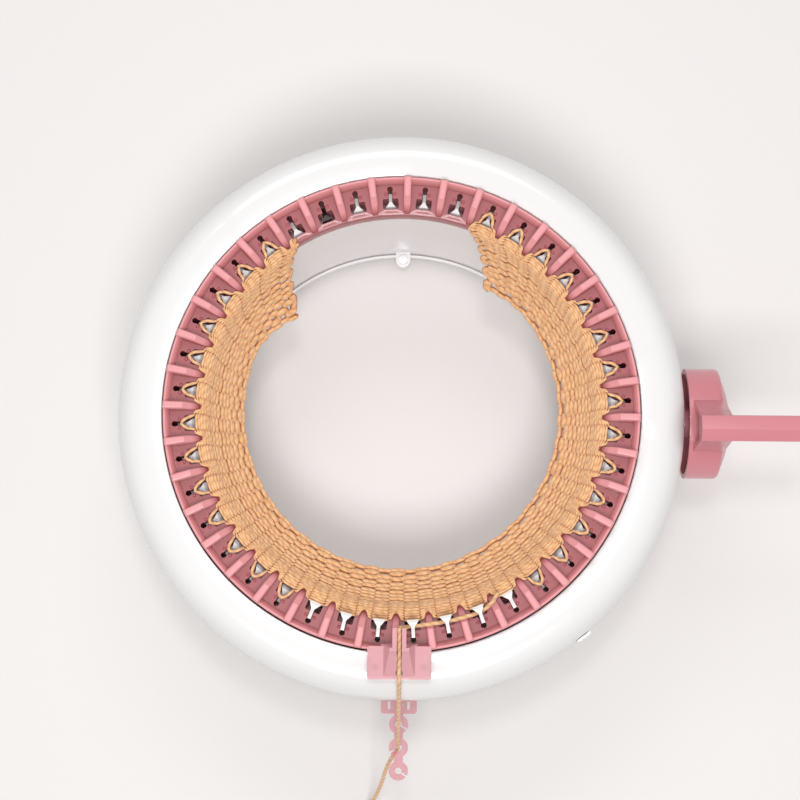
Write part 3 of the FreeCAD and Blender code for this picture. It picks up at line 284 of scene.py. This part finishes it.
housing_white = finish("housing_white", (0.81, 0.805, 0.80), (0.16, 0.24), coat=0.25,
                       variation=0.008)
# a brighter copy of the housing white, as painted light on the inside of the lining tube
tube_white_painted_light = finish("tube_white_painted_light", (0.95, 0.935, 0.95), (0.3, 0.4), variation=0.006)
inner_white = finish("inner_white", (0.92, 0.905, 0.915), (0.35, 0.5), peel_depth=0.12,
                     variation=0.02)
rose_plastic = finish("rose_plastic", (0.66, 0.235, 0.27), (0.22, 0.34), coat=0.12,
                      variation=0.04, peel_depth=0.08)
# the pocket floors and everything below them get painted shade
crown_rose = finish("crown_rose", (0.77, 0.315, 0.33), (0.2, 0.3), coat=0.12,
                    variation=0.03, peel_depth=0.08, painted_shade=(0.1182, (0.37, 0.09, 0.10)))
clear_rose = finish("clear_rose", (0.80, 0.41, 0.45), (0.16, 0.26), coat=0.2, alpha=0.72,
                    variation=0.03)
ring_rose = finish("ring_rose", (0.70, 0.21, 0.26), (0.4, 0.5), alpha=0.42, variation=0.03,
                   specular=0.3)
needle_white = finish("needle_white", (0.88, 0.87, 0.85), (0.2, 0.3), variation=0.02)
marker_black = finish("marker_black", (0.02, 0.012, 0.01), (0.2, 0.32), variation=0.1)
foot_rubber = finish("foot_rubber", (0.035, 0.035, 0.037), (0.65, 0.85), 2600.0, 0.5, 0.15)
screw_steel = finish("screw_steel", (0.62, 0.62, 0.64), (0.25, 0.42), 3000.0, 0.15, 0.06,
                     metallic=1.0)
print("plastics", [m.name for m in bpy.data.materials])

# %% [markdown]
# ## Finishing the CAD nodes
# A CAD node's mesh is loose triangles, so every facet would show. Weld joins them, smooth
# shading rounds them, and Edge Split keeps the edges that are really sharp.

# %% Put materials on the nodes
SHARP = math.radians(32.0)
WELD_WITHIN = 2e-6                       # facets' corners nearer than this are one, metres
slot_finish = {
    "housing_white": housing_white, "inner_white": inner_white,
    "pink_plastic": rose_plastic, "clear_pink": clear_rose, "needle_white": needle_white,
    "marker_black": marker_black, "foot_rubber": foot_rubber, "screw_steel": screw_steel}


def polish(node, material):
    """Smooth shading and a material on one CAD node, with its own vertices untouched."""
    piece = frame["nodes"][node]
    piece.data.materials.clear()
    piece.data.materials.append(material)
    piece.data.polygons.foreach_set("use_smooth", [True] * len(piece.data.polygons))
    weld = piece.modifiers.new("join facets", "WELD")
    weld.merge_threshold = WELD_WITHIN
    edges = piece.modifiers.new("keep edges", "EDGE_SPLIT")
    edges.split_angle = SHARP


# these nodes differ from the rest of their slot; the lining tube's brighter white is painted
# light
node_finish = {"needle_crown": crown_rose, "tension_bracket": ring_rose,
               "tension_arm": ring_rose, "inner_tube": tube_white_painted_light}
for row in frame["record"]["subparts"]:
    material = node_finish.get(row["node"], slot_finish.get(row["material_slot"]))
    if material is not None:
        polish(row["node"], material)

# %% [markdown]
# ## Strands
# Yarn is made as a skin round a path. At each point of the path a ring is laid square to
# it, and for two twisted plies the ring is not round: its radius has two lobes that turn
# steadily along the yarn, which gives the twist real relief.

# %% Skin round a path
def unit(vectors):
    """Each row of an array scaled to length one."""
    return vectors / np.linalg.norm(vectors, axis=-1, keepdims=True)


def strand_mesh(name, path, reference, radius, sides, lobe, lay, flat=(1.0, 1.0), leg=None):
    """A tube of rings round a path, closed at both ends.

    ring point = path + r (f0 cos a * side + f1 sin a * up), where side is tangent x
    reference, f0 and f1 are the two parts of flat, given once or for each point, and
    r = radius (1 - lobe + lobe |cos(a + turn)|), with turn growing by pi per lay.
    leg is a number for each point of the path, kept on the mesh for the material."""
    tangent = unit(np.gradient(path, axis=0))
    side = unit(np.cross(tangent, reference))
    up = np.cross(side, tangent)
    steps = np.linalg.norm(np.diff(path, axis=0), axis=1)
    along = np.concatenate([[0.0], np.cumsum(steps)])
    angle = np.linspace(0.0, math.tau, sides, endpoint=False)
    turn = math.tau * along / lay
    r = radius * (1.0 - lobe + lobe * np.abs(np.cos(angle[None, :] + turn[:, None])))
    wide, thick = (np.broadcast_to(f, len(path))[:, None, None] for f in flat)
    ring = (np.cos(angle)[None, :, None] * side[:, None, :] * wide
            + np.sin(angle)[None, :, None] * up[:, None, :] * thick)
    points = (path[:, None, :] + r[:, :, None] * ring).reshape(-1, 3)
    count = len(path)
    row, column = np.meshgrid(np.arange(count - 1), np.arange(sides), indexing="ij")
    after = (column + 1) % sides
    quads = np.stack([row * sides + column, row * sides + after,
                      (row + 1) * sides + after, (row + 1) * sides + column], axis=-1)
    quads = quads.reshape(-1, 4)
    u = np.stack([along[row], along[row], along[row + 1], along[row + 1]], axis=-1)
    v = np.stack([column, column + 1, column + 1, column], axis=-1) / sides
    uv = np.stack([u, v], axis=-1).reshape(-1, 2)
    caps = [list(range(sides))[::-1], list(range((count - 1) * sides, count * sides))]
    mesh = bpy.data.meshes.new(name)
    mesh.from_pydata(points.tolist(), [], quads.tolist() + caps)
    layer = mesh.uv_layers.new(name="strand")
    full = np.zeros((len(mesh.loops), 2), np.float32)
    full[:len(uv)] = uv
    layer.data.foreach_set("uv", full.ravel())
    if leg is not None:
        mark = mesh.attributes.new("leg", "FLOAT", "POINT")
        mark.data.foreach_set("value", np.repeat(leg, sides).astype(np.float32))
    mesh.polygons.foreach_set("use_smooth", [True] * len(mesh.polygons))
    piece = bpy.data.objects.new(name, mesh)
    bpy.context.scene.collection.objects.link(piece)
    print("%s: %.3f m long, %d faces" % (name, along[-1], len(mesh.polygons)))
    return piece


def smooth_line(name, route):
    """The points of a NURBS line of order 3 that has the route as its control points."""
    curve = bpy.data.curves.new(name, "CURVE")
    curve.dimensions = "3D"
    curve.resolution_u = 12
    spline = curve.splines.new("NURBS")
    spline.points.add(len(route) - 1)
    spline.points.foreach_set("co", np.c_[route, np.ones(len(route))].ravel())
    spline.order_u = 3
    spline.use_endpoint_u = True
    holder = bpy.data.objects.new(name, curve)
    line = bpy.data.meshes.new_from_object(holder)
    points = np.zeros(len(line.vertices) * 3)
    line.vertices.foreach_get("co", points)
    bpy.data.objects.remove(holder)
    bpy.data.meshes.remove(line)
    points = points.reshape(-1, 3)
    apart = np.linalg.norm(np.diff(points, axis=0), axis=1) > 1e-6
    return points[np.concatenate([[True], apart])]


# %% [markdown]
# ## Yarn material
# The yarn is a warm caramel two-ply acrylic. Its colour is painted darker in the groove
# between the plies, as painted shade, and lighter on the crowns; it varies a little from patch
# to patch, and a soft sheen stands for the fine hairs that catch the light at grazing angles.
# In the knitting the strands are packed together, and the seams between them are painted darker
# as shade.

# %% Yarn finishes
def yarn_finish(name, dark, light, lay, packed=False):
    """A fibre material driven by the twist group.

    In packed yarn the sides of each strand, where it touches its neighbours, and its legs
    are painted darker as shade: V is 0.25 on the front of the strand and 0 or 0.5 at its sides."""
    material = bpy.data.materials.new(name)
    material.use_nodes = True
    tree = material.node_tree
    shader = tree.nodes["Principled BSDF"]
    fibre = tree.nodes.new("ShaderNodeGroup")
    fibre.node_tree = twist
    fibre.inputs["Lay"].default_value = lay
    # painted shade: darker in the groove between the plies and lighter on the crowns, plus random
    # patches
    crown = maths(tree, "MULTIPLY_ADD", fibre.outputs["Groove"], 0.6,
                  maths(tree, "MULTIPLY", fibre.outputs["Patch"], 0.55))
    shade = tinted(tree, crown, dark, light)
    # packed yarn gets painted shade on the sides of each strand and on its legs
    if packed:
        split = tree.nodes.new("ShaderNodeSeparateXYZ")
        strand_uv = tree.nodes.new("ShaderNodeUVMap")
        strand_uv.uv_map = "strand"
        tree.links.new(strand_uv.outputs["UV"], split.inputs["Vector"])
        front = maths(tree, "SINE", maths(tree, "MULTIPLY", split.outputs["Y"], math.tau))
        front = maths(tree, "ABSOLUTE", front)
        leg = tree.nodes.new("ShaderNodeAttribute")
        leg.attribute_name = "leg"
        unshaded_face = maths(tree, "MULTIPLY_ADD", leg.outputs["Fac"], -LEG_SHADE, front)
        seam_shade = tree.nodes.new("ShaderNodeMapRange")
        tree.links.new(unshaded_face, seam_shade.inputs["Value"])
        seam_shade.inputs["From Min"].default_value = SEAM_FROM
        seam_shade.inputs["From Max"].default_value = SEAM_TO
        painted_shade = tuple(c * s for c, s in zip(dark, SEAM_SHADE))
        shade = tinted(tree, seam_shade.outputs["Result"], painted_shade, shade)
    tree.links.new(shade, shader.inputs["Base Color"])
    height = maths(tree, "MULTIPLY_ADD", fibre.outputs["Fibre"], 0.25,
                   fibre.outputs["Groove"])
    relief = tree.nodes.new("ShaderNodeBump")
    relief.inputs["Strength"].default_value = 0.8
    relief.inputs["Distance"].default_value = 0.0005
    tree.links.new(height, relief.inputs["Height"])
    tree.links.new(relief.outputs["Normal"], shader.inputs["Normal"])
    rough = remap(tree, fibre.outputs["Patch"], 0.72, 0.92)
    tree.links.new(rough, shader.inputs["Roughness"])
    shader.inputs["Sheen Weight"].default_value = 0.35
    shader.inputs["Sheen Roughness"].default_value = 0.5
    shader.inputs["Specular IOR Level"].default_value = 0.25
    return material


YARN_LAY = 9.0 * MM
SEAM_FROM, SEAM_TO = 0.05, 0.7           # where the painted shade on the side of a packed strand ends
LEG_SHADE = 1.1                           # how much darker the painted shade on a leg is
# colour of the painted shade between strands, as a fraction of the dark colour
SEAM_SHADE = (0.66, 0.36, 0.2)
# the dark colour is the painted shade in the grooves between the plies
caramel_yarn = yarn_finish("caramel_yarn", (0.64, 0.33, 0.13), (0.92, 0.58, 0.31), YARN_LAY)
packed_yarn = yarn_finish("packed_yarn", (0.80, 0.39, 0.155), (0.98, 0.60, 0.315), YARN_LAY,
                          packed=True)

# %% [markdown]
# ## The feed yarn
# The yarn runs from a small neat coil on the table up through the tensioner's second ring,
# tight to the feeder's eye, along its slit and out between the two prongs. It is one NURBS
# line through the control points of the route, and the coil's turns are more points of the
# same line, twenty to a turn.

# %% Feed yarn
YARN_D = 2.2 * MM
YARN_SIDES, YARN_LOBE = 12, 0.2
feed_route = MM * np.array([
    (0.0, -113.2, 135.0), (0.0, -118.6, 133.2), (0.0, -126.4, 130.8), (0.0, -134.2, 130.2),
    (0.0, -140.9, 129.9), (0.0, -146.5, 120.0), (0.0, -168.0, 82.9), (0.0, -175.4, 70.5),
    (-2.6, -179.2, 62.0), (-6.6, -186.8, 51.5), (-8.6, -194.4, 36.0),
    (-11.4, -201.8, 20.5), (-15.2, -208.8, 9.0), (-20.6, -214.6, 2.6),
    (-26.4, -219.9, 1.3), (-29.6, -225.6, 1.2), (-30.2, -231.0, 1.2)])
COIL_CENTRE = MM * np.array([-18.0, -231.0])
COIL_MIDDLE, COIL_REACH = 12.2 * MM, 3.5 * MM
COIL_Z, LAYER_UP = 1.2 * MM, 2.2 * MM
COIL_NEAR, COIL_BLEND = 0.228, 0.02      # past this, in front of the axis, the yarn lies level
TURN_POINTS = 20
# turns wound at each stage: out to the edge, in over it, out again on top
coil_turns = np.array([0.0, 1.6, 4.8, 8.0])
coil_radii = COIL_MIDDLE + COIL_REACH * np.array([0.0, 1.0, -1.0, 1.0])
steps = np.arange(1, int(coil_turns[-1] * TURN_POINTS) + 1) / TURN_POINTS
coil_angle = math.pi + math.tau * steps
coil_r = np.interp(steps, coil_turns, coil_radii)
coil_layer = np.interp(steps, [0.0, 1.5, 1.75, 4.7, 4.95, 8.0], [0, 0, 1, 1, 2, 2])
coil_points = np.c_[COIL_CENTRE[0] + coil_r * np.cos(coil_angle),
                    COIL_CENTRE[1] + coil_r * np.sin(coil_angle),
                    COIL_Z + LAYER_UP * coil_layer]
feed_line = smooth_line("feed_line", np.vstack([feed_route, coil_points]))
rising = np.clip((feed_line[:, 1] + COIL_NEAR) / COIL_BLEND, 0.0, 1.0)[:, None]
feed_reference = unit(rising * np.array([[1.0, 0.0, 0.0]])
                      + (1.0 - rising) * np.array([[0.0, 0.0, 1.0]]))
feed_yarn = strand_mesh("feed_yarn_strand", feed_line, feed_reference, YARN_D / 2,
                        YARN_SIDES, YARN_LOBE, YARN_LAY)
feed_yarn.data.materials.append(caramel_yarn)
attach(feed_yarn, "housing")
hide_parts("feed_yarn", "yarn_coil")

# %% [markdown]
# ## The yarn being laid
# From the prongs the yarn passes under the heads of three raised needles and climbs over a
# fin into the next pocket. It turns with the barrel.

# %% Laid yarn
laid_route = MM * np.array([
    (0.2, -112.9, 131.4), (2.6, -112.6, 127.8), (6.8, -111.9, 125.7), (15.6, -110.7, 125.5),
    (24.2, -109.4, 125.6), (32.9, -107.1, 125.6), (41.5, -104.5, 125.7),
    (46.7, -100.5, 125.9), (49.4, -96.6, 125.6), (50.5, -94.3, 124.8)])
laid_line = smooth_line("laid_line", laid_route)
laid_reference = np.array([0.0, 0.35, 1.0])
laid_yarn = strand_mesh("laid_yarn_strand", laid_line, laid_reference, YARN_D / 2,
                        YARN_SIDES, YARN_LOBE, YARN_LAY)
laid_yarn.data.materials.append(caramel_yarn)
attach(laid_yarn, "barrel")
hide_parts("laid_yarn")

# %% [markdown]
# ## The knitting
# A knitted row is one stepped strand. It runs flat along a bar at a needle, steps down
# behind itself in a leg, runs flat along a bar at a fin and steps back up, so the bars of
# neighbouring columns lie half a row apart, like bricks. The yarn is soft: packed bars press
# against each other and flatten. The rows are drawn on a hanging surface: over the crown's
# lip between the fins, then sloping in to a hem that is narrower than the needle circle.

# %% Rows and stitches
WALES = 36
FIRST_WALE = 116.0                       # angle of the first wale's edge, degrees
WALE_STEP = 9.0
POINTS_PER_STITCH = 18
FIRST_STITCH, LAST_STITCH = 0.72, 34.9   # where the two side edges are, in wales
row_place = np.array([-4.3, -2.8, -1.3, 0.4, 2.6, 5.3, 8.4, 11.8, 15.3, 18.8, 22.3, 25.9,
                      29.6, 33.9, 38.7, 43.9])  # mm down the surface from the needles
row_gap = np.gradient(row_place)
GAP_KEYS = [1.5, 3.5, 5.0]               # row gaps at which the next values are set, mm
HEM_WAVE, HEM_HALF = 0.5, 1.7            # the last row is cast on tighter than the rest, mm
row_wave = np.interp(row_gap, GAP_KEYS, [0.23, 0.25, 0.3]) * row_gap
row_wave[-1] = HEM_WAVE
row_half = 0.51 * row_gap                # half width of a bar, mm
row_half[-1] = HEM_HALF
bar_thick = np.interp(row_gap, GAP_KEYS, [0.75, 0.95, 1.35])
NEEDLES_UP = (14.0, 21.0)                # wales whose needles stand raised, with no loop
LOOP_REACH = 7.2                         # how far a needle's loop reaches past its row, mm
LOOP_HALF = 0.17                         # half width of that loop, in wales
LOOP_THIN = 0.9                          # half width of its yarn, mm
STITCH_LOOP = 0.035                      # how much the bars lengthen and the legs stand up
SQUARE = 0.2                             # how flat the bars are between their steps
LEG_DEPTH = 1.1                          # how far the legs lie behind the bars, mm
LEG_NARROW, LEG_THIN = 0.45, 0.15        # how much a leg loses of the bar's two half widths
UNEVEN, UNEVEN_MOST = 0.05, 0.3          # step and limit of the yarn's wander in a row, mm
EVEN_ABOVE = 5.0                         # rows nearer the needles than this don't wander, mm
SIZE_VARIES = 0.12                       # how much the stitches differ in size
KNIT_SIDES, KNIT_LOBE = 8, 0.1
EDGE_POINTS, EDGE_REACH = 5, 1.6         # points of the half loop at a row's end, and its reach
HEM_DOWN = 45.4                          # where the hem hangs, mm down the surface
HEM_BACK = 4.2                           # how far the hem's circle is shifted back, mm
DRAWN_IN, DRAWN_POWER = 18.0, 3.4        # how far the ends of the hem are drawn in, degrees
CURL_FROM, CURL_POWER = 0.78, 1.5        # where the side edges begin to curl
CURL_START, CURL_END, CURL_DROP = 12.0, 5.0, 5.0  # how far the hem's corners curl, mm


def hanging_surface(across, down):
    """Points of the hanging knitting, in mm, from wale coordinate and distance down.

    radius and height follow one profile in the pockets and another at the fins, blended by
    how near a point is to a fin; the hem's circle is shifted back and its ends are drawn
    together and curl towards the axis."""
    w = across / WALES * 2.0 - 1.0
    near = 1.0 - np.abs(2.0 * (across % 1.0) - 1.0)
    pocket = np.clip((near - 0.15) / 0.22, 0.0, 1.0)
    pocket = pocket * pocket * (3.0 - 2.0 * pocket)
    stations = [-15.0, -6.0, -4.4, -2.2, 0.0, 2.2, 4.4, 6.8, 9.6, 13.0, 20.0, 30.0, 40.0, 52.0]
    pocket_r = [118.9, 110.0, 108.7, 106.6, 104.8, 103.4, 102.5, 101.9, 101.3, 100.3, 97.2, 92.4,
                87.6, 82.0]
    pocket_z = [119.0, 119.4, 119.6, 119.9, 119.6, 118.4, 116.8, 115.2, 113.1, 110.3, 104.4, 96.0,
                88.0, 78.5]
    fin_r = [104.9, 104.8, 104.7, 104.4, 104.0, 103.4, 102.6, 101.9, 101.2, 100.1, 97.1, 92.4,
             87.6, 82.0]
    fin_z = [119.4, 119.3, 118.9, 118.3, 117.6, 116.7, 115.6, 114.3, 112.6, 109.8, 104.1, 95.9,
             88.0, 78.5]
    r = pocket * np.interp(down, stations, pocket_r)
    r = r + (1.0 - pocket) * np.interp(down, stations, fin_r)
    z = pocket * np.interp(down, stations, pocket_z)
    z = z + (1.0 - pocket) * np.interp(down, stations, fin_z)
    fall = np.clip(down / HEM_DOWN, 0.0, 1.1)
    drawn = DRAWN_IN * fall * np.sign(w) * np.abs(w) ** DRAWN_POWER
    angle = FIRST_WALE + WALE_STEP * across - drawn
    edge = np.clip((np.abs(w) - CURL_FROM) / (1.0 - CURL_FROM), 0.0, 1.0) ** CURL_POWER
    r = r - edge * fall ** 2 * np.where(w < 0, CURL_START, CURL_END)
    z = z - edge * fall ** 2 * CURL_DROP
    a = np.radians(angle)
    return np.stack([r * np.cos(a), r * np.sin(a) + HEM_BACK * fall ** 1.2, z], axis=-1)


def lean(across, down):
    """Unit normals of the hanging surface, on the side of the axis."""
    step = 0.4                           # mm to each side
    along = hanging_surface(across, down + step) - hanging_surface(across, down - step)
    angle = np.radians(FIRST_WALE + WALE_STEP * across)
    sideways = np.stack([-np.sin(angle), np.cos(angle), np.zeros_like(angle)], axis=-1)
    return unit(np.cross(sideways, along))


# %% Knit one long strand
rng = np.random.default_rng(7)
rows = len(row_place)
count = int((LAST_STITCH - FIRST_STITCH) * POINTS_PER_STITCH)
t = np.tile(np.linspace(FIRST_STITCH, LAST_STITCH, count), (rows, 1))
jitter = np.cumsum(rng.normal(0.0, UNEVEN, t.shape), axis=1)
jitter = jitter - jitter.mean(axis=1, keepdims=True)
jitter = np.clip(jitter, -UNEVEN_MOST, UNEVEN_MOST)
size_turn = 2.399 * np.floor(t + 0.5) + 1.7 * np.arange(rows)[:, None]
stitch_size = 1.0 + SIZE_VARIES * np.sin(size_turn)
across = t + STITCH_LOOP * np.sin(4.0 * math.pi * t)
wave = np.cos(math.tau * t)
wave = wave / (SQUARE + (1.0 - SQUARE) * np.abs(wave))
leg = (1.0 - np.abs(wave)) ** 1.4
down = (row_place[:, None] + jitter * (row_place[:, None] > EVEN_ABOVE)
        + row_wave[:, None] * stitch_size * wave)
# the first row is drawn up into a pointed loop round the stem of each lowered needle
held = np.clip(1.0 - np.abs(t[0] % 1.0 - 0.5) / LOOP_HALF, 0.0, 1.0)
held = np.sqrt(held) * ((t[0] < NEEDLES_UP[0]) | (t[0] > NEEDLES_UP[1]))
down[0] = down[0] - LOOP_REACH * held
leg[0] = leg[0] * (held == 0.0)
front = hanging_surface(across, down)
normal = lean(across, down)
knit = front - LEG_DEPTH * leg[..., None] * normal
half_width = row_half[:, None] * (1.0 - LEG_NARROW * leg)
half_thick = bar_thick[:, None] * (1.0 - LEG_THIN * leg)
half_width[0] = np.where(held > 0.0, LOOP_THIN, half_width[0])
# every other row runs back the other way
for grid in (leg, half_width, half_thick):
    grid[1::2] = grid[1::2, ::-1]
knit[1::2] = knit[1::2, ::-1]
normal[1::2] = normal[1::2, ::-1]

# at the end of each row the strand turns back in a small half loop
half = np.linspace(0.0, math.pi, EDGE_POINTS + 2)[1:-1]
ends, starts = knit[:-1, -1], knit[1:, 0]
outward = unit(knit[:-1, -1] - knit[:-1, -6]) * EDGE_REACH
centre = (ends + starts) / 2
loops = (centre[:, None] + (ends - centre)[:, None] * np.cos(half)[None, :, None]
         + outward[:, None] * np.sin(half)[None, :, None])
loop_normal = np.repeat(normal[:-1, -1][:, None], len(half), axis=1)
pieces_of_path = np.concatenate([knit[:-1], loops], axis=1).reshape(-1, 3)
path = MM * np.vstack([pieces_of_path, knit[-1]])
reference = np.concatenate([normal[:-1], loop_normal], axis=1).reshape(-1, 3)
reference = np.vstack([reference, normal[-1]])


def with_loops(grid):
    """One value for each point of the path, from a value for each point of the rows."""
    turn = np.repeat(grid[:-1, -1][:, None], len(half), axis=1)
    return np.concatenate([np.concatenate([grid[:-1], turn], axis=1).ravel(), grid[-1]])


knitting = strand_mesh("knitting", path, reference, MM, KNIT_SIDES, KNIT_LOBE, YARN_LAY,
                       flat=(with_loops(half_width), with_loops(half_thick)),
                       leg=with_loops(leg))
knitting.data.materials.append(packed_yarn)
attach(knitting, "barrel")
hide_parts("knitted_panel")

# %% [markdown]
# ## The table
# A plain pale table under everything. It isn't part of the object.

# %% Table
table_mesh = bpy.data.meshes.new("table_top")
SPREAD = 4.0
table_mesh.from_pydata([(-SPREAD, -SPREAD, 0), (SPREAD, -SPREAD, 0), (SPREAD, SPREAD, 0),
                        (-SPREAD, SPREAD, 0)], [], [(0, 1, 2, 3)])
table_top = bpy.data.objects.new("table_top", table_mesh)
bpy.context.scene.collection.objects.link(table_top)
table_paint = finish("table_paint", (0.80, 0.775, 0.765), (0.6, 0.75), 400.0, 0.05, 0.006)
table_top.data.materials.append(table_paint)
